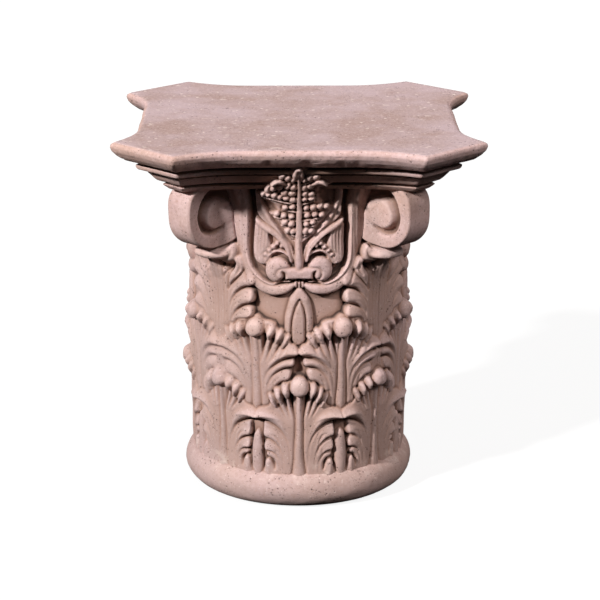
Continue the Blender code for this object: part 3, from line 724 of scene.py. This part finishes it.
def even_section(corners, step):
    """The same run of corners read at even steps, with neighbours averaged."""
    corners = np.array(corners)
    length = np.concatenate([[0], np.cumsum(np.hypot(*np.diff(corners, axis=0).T))])
    spots = np.linspace(0, length[-1], int(length[-1] / step))
    even = np.stack([np.interp(spots, length, corners[:, side]) for side in (0, 1)], axis=1)
    even[1:-1] = 0.2 * even[:-2] + 0.6 * even[1:-1] + 0.2 * even[2:]
    return even


def bite(rings, rise):
    """How far the clay is bitten back: fine nibbles along both edges where a wobble
    peaks, and a few bell-shaped chips on the front."""
    edge = np.exp(-((rise - 0.047) / 0.012) ** 2)
    low_edge = np.exp(-((rise - 0.036) / 0.005) ** 2)
    depth = np.clip(wobble(rings, 0.009, 14) - 1.0, 0, 1) * 0.0022 * edge
    depth += np.clip(wobble(rings, 0.014, 15) - 0.7, 0, 1) * 0.004 * low_edge
    front = rings[:, :, 1] < -0.1
    for place, level, size, deep in CHIPS:
        gap = ((rings[:, :, 0] - place) / size) ** 2 + ((rise - level) / size) ** 2
        depth += deep * np.exp(-gap) * front
    return depth


def abacus():
    """Stack of parallels, closed by flat faces below and on top."""
    rings = []
    for setback, rise in even_section(SECTION, SECTION_STEP):
        plan = abacus_outline(setback)
        plan = 0.25 * np.roll(plan, 1, axis=0) + 0.5 * plan + 0.25 * np.roll(plan, -1, axis=0)
        rings.append(np.column_stack([plan, np.full(len(plan), ABACUS_UNDERSIDE + rise)]))
    rings += [rings[-1] * [scale, scale, 1] for scale in (0.86, 0.6, 0.3)]
    rings = np.array(rings)
    middle = rings[:, :, :2]
    outwards = middle / np.linalg.norm(middle, axis=2, keepdims=True)
    rise = rings[:, :, 2] - ABACUS_UNDERSIDE
    push = 0.0005 * wobble(rings, 0.06, 12) + 0.0003 * wobble(rings, 0.012, 13)
    move = push * (rise < 0.0535) - bite(rings, rise)
    rings[:, :, :2] += outwards * move[:, :, None]
    rings[:, :, 2] = np.minimum(rings[:, :, 2], HEIGHT)
    count, around = rings.shape[:2]
    # Painted shade: dark lines in the three moulding grooves, and the middle of each side darker under the slab.
    depth = LESS_PAINTED_SHADE + sum(4.0 * np.exp(-((rise - groove) / 0.0012) ** 2)
                        for groove in (0.0081, 0.0216, 0.0300))
    along = np.abs(middle).min(axis=2)
    depth += 3.2 * np.exp(-(along / 0.09) ** 4) * np.clip((0.034 - rise) / 0.004, 0, 1)
    bottom = np.arange(around)[::-1]
    top = np.arange(around) + (count - 1) * around
    piece = make_piece("abacus", rings, grid_faces(count, around, True), depth, [bottom, top])
    dust = piece.data.attributes.new("dust", "FLOAT", "POINT")
    laid = np.clip((rise - 0.0528) / 0.001, 0, 1)
    dust.data.foreach_set("value", laid.astype(np.float32).ravel())
    return piece


PIECES.append(abacus())
print("abacus triangles:", count_triangles(PIECES[-1]))

# %% [markdown]
# A corner volute is a thick scroll whose two flat sides carry the spiral. One side is
# a height map again: a wide channel that starts at the bell, runs over the top of the
# eye, narrows down the outer side and ends in a hook, so the rim flows into the eye.
# The scroll is worked out in rays from its eye: in along one side, over the rim, and
# back along the other.

# %% Volutes
VOLUTE_RAYS = 160
VOLUTE_STEPS = 46
RIM_STEPS = 20
VOLUTE_EYE = (146.0, 338.0)
VOLUTE_SIZE = (38.2, 35.5)
VOLUTE_HALF = 17.5
RIM_ROUND = 2.2


def volute_side_map():
    """Half width of the scroll over (distance out, height), both in millimetres."""
    step = 0.6
    side = Relief(np.arange(84, 192, step), np.arange(296, 384, step))
    side.stand += VOLUTE_HALF
    channel = [(112, 308), (114.5, 325), (116.5, 344), (125, 359), (140, 363.5), (154.5, 359),
               (162.8, 348), (164.6, 336.5), (160.5, 326.5), (152.5, 321.4), (144, 320.6),
               (137, 324), (134.2, 328.5)]
    near, gap, wide, place = side.measure(side.across, channel,
                                          [8.0, 8.0, 7.6, 6.4, 5.4, 4.8, 4.4, 4.0, 3.2, 2.3, 0.9], 12.0)
    depth = spread([7, 7, 8, 9.5, 10.5, 11, 10.5, 9, 7, 4, 0.5], place)
    side.stand[near] -= depth * np.exp(-0.9 * (gap / wide) ** 4)
    eye_x, eye_z = (side.across - 142.5) / 21.0, (side.up - 341.0) / 16.5
    side.stand += 2.0 * np.clip(1 - eye_x ** 2 - eye_z ** 2, 0, 1) ** 0.7
    side.stand = blur(side.stand, 0.7 / step)
    return side


def volute(name, turn):
    """Scroll about the eye; the rim is rounded and the neck reaches back to the bell."""
    side = volute_side_map()
    ray = np.arange(VOLUTE_RAYS) * 2 * np.pi / VOLUTE_RAYS
    out, up = np.cos(ray), np.sin(ray)
    square = np.where((out > 0) & (up > 0), 3.8, 2.0)
    rim = (np.abs(out / VOLUTE_SIZE[0]) ** square + np.abs(up / VOLUTE_SIZE[1]) ** square) ** (-1 / square)
    top_run = np.where(up > 0.3, 37.0 / np.clip(up, 0.3, 1), 0)
    neck = np.where((out < 0) & (up > 0.3), np.minimum(top_run, 52.0), 0)
    rim = np.maximum(rim, neck)
    rim = np.convolve(np.concatenate([rim[-3:], rim, rim[:3]]), np.ones(7) / 7, "valid")
    reach = np.linspace(0, 1, VOLUTE_STEPS) ** 0.85
    x = VOLUTE_EYE[0] + np.outer(reach, rim * out)
    z = VOLUTE_EYE[1] + np.outer(reach, rim * up)
    step_x, step_z = side.across[0, 1] - side.across[0, 0], side.up[1, 0] - side.up[0, 0]
    j = np.clip(((x - side.across[0, 0]) / step_x).astype(int), 0, side.across.shape[1] - 1)
    i = np.clip(((z - side.up[0, 0]) / step_z).astype(int), 0, side.up.shape[0] - 1)
    half = side.stand[i, j]
    # Painted shade follows the hollows of the side, a little lessened.
    hollow = hollow_map(side.stand, step_x)[i, j] + 0.5 * LESS_PAINTED_SHADE
    flare = 19.0 * np.clip((142 - x) / 34, 0, 1) ** 1.4
    half = half + flare
    inset = (1 - reach)[:, None] * rim
    half = half - RIM_ROUND * (1 - dome(1 - inset / RIM_ROUND, 2.0))
    across_rim = np.linspace(1, -1, RIM_STEPS + 2)[1:-1, None] * half[-1]
    sides = np.vstack([half, across_rim, -half[::-1]])
    outs = np.vstack([x, np.repeat(x[-1:], RIM_STEPS, 0), x[::-1]])
    ups = np.vstack([z, np.repeat(z[-1:], RIM_STEPS, 0), z[::-1]])
    # The rim gets less painted shade, so the outer band reads lighter.
    depth = np.vstack([hollow, np.full((RIM_STEPS, VOLUTE_RAYS), LESS_PAINTED_SHADE), hollow[::-1]])
    turn = np.radians(turn)
    points = np.stack([outs * np.sin(turn) + sides * np.cos(turn),
                       -outs * np.cos(turn) + sides * np.sin(turn), ups], axis=-1) * MM
    points += 0.0004 * wobble(points, 0.035, 21)[..., None] * [1, 1, 0]
    count = len(sides)
    faces = grid_faces(count, VOLUTE_RAYS, True)
    first = np.arange(VOLUTE_RAYS)[::-1]
    last = np.arange(VOLUTE_RAYS) + (count - 1) * VOLUTE_RAYS
    return make_piece(name, points, faces, depth, [first, last])


for quarter, side_name in enumerate(("front_right", "back_right", "back_left", "front_left")):
    PIECES.append(volute(f"volute_{side_name}", 45 + quarter * 90))
print("volute triangles:", count_triangles(PIECES[-1]))

# %% [markdown]
# The palmette is a spray of berries that leans out over the mouldings of the slab. Its
# ground curves forwards with height; on that ground the same brush sets rows of round
# berries on both sides of a stem, and thin leaf edges between the rows. Beyond its
# outline the ground falls back into the bell, so the edge is a real edge.

# %% Palmette
PALMETTE_STEP = 0.8
PALMETTE_LOW = 312.0
PALMETTE_HIGH = 405.0
PALMETTE_HALF = 46.0
BERRY = 3.5
BERRY_ROWS = (
    (322.5, 0.16, (-12.0, -6.4, 6.8, 13.0)),
    (331.5, 0.12, (-15.8, -8.4, 7.4, 14.6)),
    (340.5, 0.10, (-24.0, -16.8, -8.6, 9.0, 17.2, 24.4)),
    (350.5, 0.06, (-14.8, -7.4, 7.6, 15.8, 23.0, 29.6)),
    (359.5, 0.20, (-38.5, -32.4, -26.4, -20.4, -13.6, -6.6, 6.2, 13.6)),
    (367.0, 0.10, (-15.0, -7.4, 6.8, 13.2)),
    (375.0, 0.15, (-12.6, -6.0, 5.6, 12.4)),
    (385.0, 0.22, (-18.0, -12.0, -6.0, 5.4, 11.6, 18.2)))
LEFT_EDGE = ((312, 4), (320, 12), (330, 18), (338, 24), (343, 29), (348, 22), (354, 24), (360, 33),
             (367, 42), (370, 36), (374, 36), (380, 32), (387, 29), (391, 20), (395, 10), (402, 5))
RIGHT_EDGE = ((312, 4), (320, 12), (330, 18), (338, 26), (346, 33), (352, 32), (356, 24), (362, 19),
              (370, 17), (375, 18), (379, 31), (387, 30), (391, 22), (395, 11), (402, 5))


def palmette_map():
    """Relief of berries over (distance across, height)."""
    spray = Relief(np.arange(-PALMETTE_HALF, PALMETTE_HALF + 0.1, PALMETTE_STEP / 2),
                   np.arange(PALMETTE_LOW, PALMETTE_HIGH + 0.1, PALMETTE_STEP / 2))
    left, right = (np.interp(spray.up, *np.array(edge).T) for edge in (LEFT_EDGE, RIGHT_EDGE))
    beyond = np.abs(spray.across) - np.where(spray.across < 0, left, right)
    spray.stand += -2.0 - 1.3 * np.clip(beyond, 0, 40)
    for level, rise, places in BERRY_ROWS:
        for side in (-1, 1):
            far = max(place * side for place in places)
            spray.ridge(spray.across, [(side * 1.5, level - 5.6), (side * far * 0.5, level - 4.4 + rise * far * 0.4),
                                       (side * (far + 3), level - 3.4 + rise * far)],
                        [1.2, 1.3, 0.9], [1.8, 1.8, 0.6], moat=1.2)
    for level, rise, places in BERRY_ROWS:
        for place in places:
            height = level + rise * abs(place)
            size = BERRY * (1 + 0.16 * np.sin(place * 1.7 + level))
            height += 0.7 * np.sin(place * 2.3 + level * 0.7)
            spray.ridge(spray.across, [(place - 0.6, height), (place + 0.6, height + 0.4)],
                        [size, size], [4.0, 4.0], bluff=2.0, moat=1.8)
    for place, level in ((-33, 373.5), (-27, 375.5), (-20.5, 377.5)):
        spray.ridge(spray.across, [(place - 1, level - 1.5), (place + 1, level + 2)], [3.6, 3.2],
                    [4.6, 3.4], moat=2.0)
    for side in (-1, 1):
        spray.ridge(spray.across, [(15 * side, 380), (20 * side, 383), (25 * side, 383), (29 * side, 380)],
                    [2.0, 3.2, 3.0, 2.0], [3.0, 6.0, 8.0, 9.0], moat=2.0)
    spray.ridge(spray.across, [(0, 387), (-0.8, 392), (-0.6, 398)], [4.0, 6.8, 4.6], [3.2, 5.4, 4.6],
                moat=1.5)
    spray.ridge(spray.across, [(0, 308), (0, 350), (0, 396)], [4.0, 3.2, 1.2], [3.0, 3.2, 3.6],
                moat=2.0)
    spray.stand = blur(spray.stand, 0.9)
    return spray


def palmette(name, turn):
    """Front sheet on a ground that leans out, closed at the back by one flat face."""
    spray = palmette_map()
    x = np.arange(-PALMETTE_HALF, PALMETTE_HALF + 0.1, PALMETTE_STEP)
    z = np.arange(PALMETTE_LOW, PALMETTE_HIGH + 0.1, PALMETTE_STEP)
    x, z = np.meshgrid(x, z)
    wander = 0.5 * wobble(np.stack([x, z, 0 * x + turn], axis=-1) * MM, 0.02, 31)
    fine = PALMETTE_STEP / 2
    j = np.clip((x + wander + PALMETTE_HALF) / fine, 0, spray.across.shape[1] - 1).astype(int)
    i = np.clip((z - PALMETTE_LOW) / fine, 0, spray.up.shape[0] - 1).astype(int)
    stand = spray.stand[i, j]
    hollow = hollow_map(np.maximum(spray.stand, -8), fine)[i, j]
    ground = np.interp(z, [300, 320, 350, 370, 390, 400, 405],
                       [121.5, 124.5, 128.0, 136.0, 149.0, 158.0, 160])
    bend = np.cos(np.clip(np.abs(x) / 125, 0, 1))
    out = np.maximum(ground * bend ** 0.6 + stand, 104.0)
    spin = np.radians(turn)
    points = np.stack([x * np.cos(spin) + out * np.sin(spin),
                       x * np.sin(spin) - out * np.cos(spin), z], axis=-1) * MM
    count, wide = x.shape
    border = np.concatenate([np.arange(wide)[::-1], np.arange(1, count) * wide,
                             (count - 1) * wide + np.arange(1, wide),
                             np.arange(count - 2, 0, -1) * wide + wide - 1])
    return make_piece(name, points, grid_faces(count, wide, False), hollow, [border])


for quarter, side_name in enumerate(("front", "right", "back", "left")):
    PIECES.append(palmette(f"palmette_{side_name}", quarter * 90))
print("palmette triangles:", count_triangles(PIECES[-1]))

# %% [markdown]
# Shader maths reads best as plain expressions. A small class wraps an output socket
# and turns +, -, * and / into Math nodes, with the reflected forms, so that 1 - mask
# works. Any other node comes from one method that takes its type, its settings and the
# values of its sockets.

# %% Shader maths


class Value:
    """An output socket that can be used in sums."""

    def __init__(self, paint, socket):
        self.paint = paint
        self.socket = socket

    def maths(self, operation, first, second, clamp=False):
        return self.paint.node("ShaderNodeMath", {"operation": operation, "use_clamp": clamp},
                               {0: first, 1: second})

    def __add__(self, other):
        return self.maths("ADD", self, other)

    def __sub__(self, other):
        return self.maths("SUBTRACT", self, other)

    def __rsub__(self, other):
        return self.maths("SUBTRACT", other, self)

    def __mul__(self, other):
        return self.maths("MULTIPLY", self, other)

    def __truediv__(self, other):
        return self.maths("DIVIDE", self, other)

    def clip(self):
        """The value held between 0 and 1."""
        return self.maths("ADD", self, 0.0, clamp=True)

    __radd__ = __add__
    __rmul__ = __mul__


class Paint:
    """The nodes of a material or a world under construction."""

    def __init__(self, owner):
        owner.use_nodes = True
        self.owner = owner
        self.tree = owner.node_tree
        self.tree.nodes.clear()

    def node(self, kind, settings=None, inputs=None, output=0):
        """New node: settings first, then a value or a link for each socket."""
        made = self.tree.nodes.new(kind)
        for key, value in (settings or {}).items():
            if key == "stops":
                while len(made.color_ramp.elements) < len(value):
                    made.color_ramp.elements.new(0.5)
                for element, (place, colour) in zip(made.color_ramp.elements, value):
                    element.position = place
                    element.color = (*colour, 1.0)
            else:
                setattr(made, key, value)
        for key, value in (inputs or {}).items():
            socket = made.inputs[key]
            if isinstance(value, Value):
                self.tree.links.new(value.socket, socket)
            else:
                socket.default_value = value
        return Value(self, made.outputs[output]) if len(made.outputs) else made

    def mix(self, factor, first, second, way="MIX"):
        """Mix of two colours."""
        return self.node("ShaderNodeMix", {"data_type": "RGBA", "blend_type": way},
                         {0: factor, 6: first, 7: second}, output=2)


print("shader maths ready")

# %% [markdown]
# Fired clay is not one colour. The cast is a pale pinkish tan that drifts between rosy
# and sandy, with fine grain, pale and rusty flecks, and tiny round pits left by air
# bubbles. Shade is painted in as well: browner in the hollows (partly dirt), nearly
# black in deep hollows and pits, and darker towards the bottom. Raised edges are paler,
# partly wear and partly painted highlight, and white patches by the foot are painted
# glare. Everything reads Object coordinates, so the patterns run on from piece to piece.

# %% Terracotta
ROSE = (0.590, 0.402, 0.390)
SAND = (0.545, 0.355, 0.300)
TAN = (0.400, 0.225, 0.160)
EARTH = (0.420, 0.265, 0.215)
PALE = (0.710, 0.545, 0.520)
# The next two colours are painted shade: one for flats and the lower part, one nearly black for deep hollows and
# pits.
PAINTED_SHADE = (0.34, 0.255, 0.245)
PAINTED_DEEP_SHADE = (0.045, 0.022, 0.016)
RUST = (0.42, 0.21, 0.12)
# The next colour serves chalky flecks and also the painted glare by the foot.
CHALK_AND_GLARE = (0.86, 0.74, 0.68)
MAUVE = (0.50, 0.385, 0.410)
STREAK = (0.37, 0.255, 0.235)


def colour(rgb):
    """The colour with a fourth number, as a socket wants it."""
    return (*rgb, 1.0)


def soft_step(value, start, end):
    """0 below start, 1 above end, straight between, as a clamped Math node."""
    return ((value - start) * (1.0 / (end - start))).clip()


def terracotta(name):
    """Clay with drifting tone, painted shade and highlight, pits, and dust on the flat top."""
    paint = Paint(bpy.data.materials.new(name))
    place = paint.node("ShaderNodeTexCoord", output="Object")
    # The hollow value drives the painted shade and the paler edges.
    hollow = paint.node("ShaderNodeAttribute", {"attribute_name": "hollow"}, output="Fac")
    dust = paint.node("ShaderNodeAttribute", {"attribute_name": "dust"}, output="Fac")

    def noise(scale, detail, rough=0.5):
        return paint.node("ShaderNodeTexNoise", None,
                          {"Vector": place, "Scale": scale, "Detail": detail, "Roughness": rough})

    def pits(scale, low, high):
        """Small round holes: near the middle of a cell, in some parts only."""
        cells = paint.node("ShaderNodeTexVoronoi", None, {"Vector": place, "Scale": scale},
                           output="Distance")
        return (1.0 - soft_step(cells, 0.10, 0.24)) * soft_step(noise(0.2 * scale, 2.0), low, high)

    mottle = noise(240.0, 4.0, 0.7)
    specks = noise(420.0, 2.0, 0.6)
    holes = (pits(210.0, 0.50, 0.60) + pits(430.0, 0.48, 0.58)).clip()
    base = paint.mix(soft_step(noise(9.0, 3.0), 0.38, 0.62), colour(ROSE), colour(SAND))
    base = paint.mix(soft_step(noise(34.0, 4.0, 0.6), 0.40, 0.66) * 0.28, base, colour(PALE))
    base = paint.mix(soft_step(mottle, 0.52, 0.34) * 0.55, base, colour(EARTH))
    base = paint.mix(soft_step(mottle, 0.54, 0.70) * 0.45, base, colour(PALE))
    top = paint.mix(soft_step(noise(13.0, 5.0, 0.6), 0.40, 0.62), colour(MAUVE), colour(STREAK))
    top = paint.mix(soft_step(mottle, 0.50, 0.70) * 0.5, top, colour(PALE))
    top = paint.mix(soft_step(noise(150.0, 1.0), 0.68, 0.74) * 0.7, top, colour(CHALK_AND_GLARE))
    base = paint.mix(dust * 0.85, base, top)
    level = paint.node("ShaderNodeSeparateXYZ", None, {0: place}, output="Z")
    # Painted shade: the clay grows darker towards the bottom of the cast.
    base = paint.mix(soft_step(level, 0.33, 0.13) * 0.38, base, colour(PAINTED_SHADE))
    # Painted shade: the flats and hollows of the carving are darker than its raised edges.
    base = paint.mix(soft_step(hollow, -1.8, 0.4) * 0.56, base, colour(PAINTED_SHADE))
    # Painted highlight: white glare patches in a band round the top of the foot.
    painted_glare = soft_step(level, 0.030, 0.044) * soft_step(level, 0.056, 0.046)
    painted_glare = painted_glare * soft_step(noise(26.0, 4.0, 0.7), 0.52, 0.66)
    base = paint.mix(painted_glare * 0.75, base, colour(CHALK_AND_GLARE))
    base = paint.mix(soft_step(specks, 0.66, 0.72) * 0.55, base, colour(CHALK_AND_GLARE))
    base = paint.mix(soft_step(specks, 0.34, 0.28) * 0.40, base, colour(RUST))
    # Browner tan in the shallow hollows: partly dirt, partly painted shade.
    base = paint.mix(soft_step(hollow, -1.2, 1.4) * 0.78, base, colour(TAN))
    # Painted shade: nearly black in the deep hollows.
    base = paint.mix(soft_step(hollow, 0.6, 3.2) * 0.94, base, colour(PAINTED_DEEP_SHADE))
    # Paler raised edges: partly wear, partly painted highlight.
    base = paint.mix(soft_step(hollow, -1.7, -3.4) * 0.40, base, colour(PALE))
    # Painted shade inside the pits.
    base = paint.mix(holes * 0.75, base, colour(PAINTED_DEEP_SHADE))
    height = noise(900.0, 3.0, 0.7) * 0.14 + mottle * 0.5 - holes * 1.4
    bump = paint.node("ShaderNodeBump", None, {"Strength": 0.6, "Distance": 0.0008, "Height": height})
    shine = 0.78 + 0.14 * noise(60.0, 2.0)
    shader = paint.node("ShaderNodeBsdfPrincipled", None,
                        {"Base Color": base, "Roughness": shine, "Normal": bump})
    paint.node("ShaderNodeOutputMaterial", None, {"Surface": shader})
    return paint.owner


clay = terracotta("fired_clay")
for piece in PIECES:
    piece.data.materials.append(clay)
print("painted", len(PIECES), "pieces")

# %% [markdown]
# The studio: a pale floor, one soft key light high on the left in front, and a dim
# even sky that keeps the shadows open but dark enough to show the carving.

# %% Floor and light
KEY_TURN = (59.0, 0.0, -49.0)
KEY_STRENGTH = 4.6
KEY_SOFTNESS = 4.0
FILL_TURN = (46.0, 0.0, 50.0)
FILL_STRENGTH = 1.65
FILL_SOFTNESS = 25.0
SKY_STRENGTH = 0.26
GLOW = 0.88


def add_sun(name, turn, strength, softness, tint):
    """Sun lamp turned in degrees about X, Y and Z."""
    light = bpy.data.lights.new(name, "SUN")
    light.energy = strength
    light.angle = np.radians(softness)
    light.color = tint
    lamp = bpy.data.objects.new(name, light)
    lamp.rotation_euler = np.radians(turn)
    bpy.context.scene.collection.objects.link(lamp)


def add_floor():
    """Pale floor that glows a little for the camera and throws no light back up."""
    paint = Paint(bpy.data.materials.new("floor_white"))
    seen = paint.node("ShaderNodeLightPath", output="Is Camera Ray")
    dark = paint.node("ShaderNodeBsdfDiffuse", None, {"Color": colour((0.01, 0.01, 0.01))})
    matt = paint.node("ShaderNodeBsdfDiffuse", None, {"Color": colour((0.14, 0.14, 0.14))})
    glow = paint.node("ShaderNodeEmission", None, {"Color": colour((1, 1, 1)), "Strength": GLOW})
    white = paint.node("ShaderNodeAddShader", None, {0: matt, 1: glow})
    whole = paint.node("ShaderNodeMixShader", None, {0: seen, 1: dark, 2: white})
    paint.node("ShaderNodeOutputMaterial", None, {"Surface": whole})
    mesh = bpy.data.meshes.new("floor")
    far = 8.0
    mesh.from_pydata([(-far, -far, 0), (far, -far, 0), (far, far, 0), (-far, far, 0)], [],
                     [(0, 1, 2, 3)])
    mesh.materials.append(paint.owner)
    floor = bpy.data.objects.new("floor", mesh)
    bpy.context.scene.collection.objects.link(floor)


def add_sky():
    """Dim light from overhead that fades to nothing at the horizon."""
    sky = Paint(bpy.data.worlds.new("sky"))
    way = sky.node("ShaderNodeTexCoord", output="Generated")
    up = sky.node("ShaderNodeSeparateXYZ", None, {0: way}, output="Z")
    light = sky.node("ShaderNodeBackground", None, {"Color": colour((1.0, 0.97, 0.95)),
                                                    "Strength": soft_step(up, 0.0, 1.0) * SKY_STRENGTH})
    seen = sky.node("ShaderNodeLightPath", output="Is Camera Ray")
    plain = sky.node("ShaderNodeBackground", None, {"Color": colour((1.0, 1.0, 1.0))})
    whole = sky.node("ShaderNodeMixShader", None, {0: seen, 1: light, 2: plain})
    sky.node("ShaderNodeOutputWorld", None, {"Surface": whole})
    bpy.context.scene.world = sky.owner


add_floor()
add_sky()
add_sun("key", KEY_TURN, KEY_STRENGTH, KEY_SOFTNESS, (1.0, 0.985, 0.97))
add_sun("fill", FILL_TURN, FILL_STRENGTH, FILL_SOFTNESS, (1.0, 0.93, 0.91))
bpy.context.scene.view_settings.view_transform = "Standard"
print("studio ready")

# %% Finish
print("triangles in all:", sum(count_triangles(piece) for piece in PIECES))
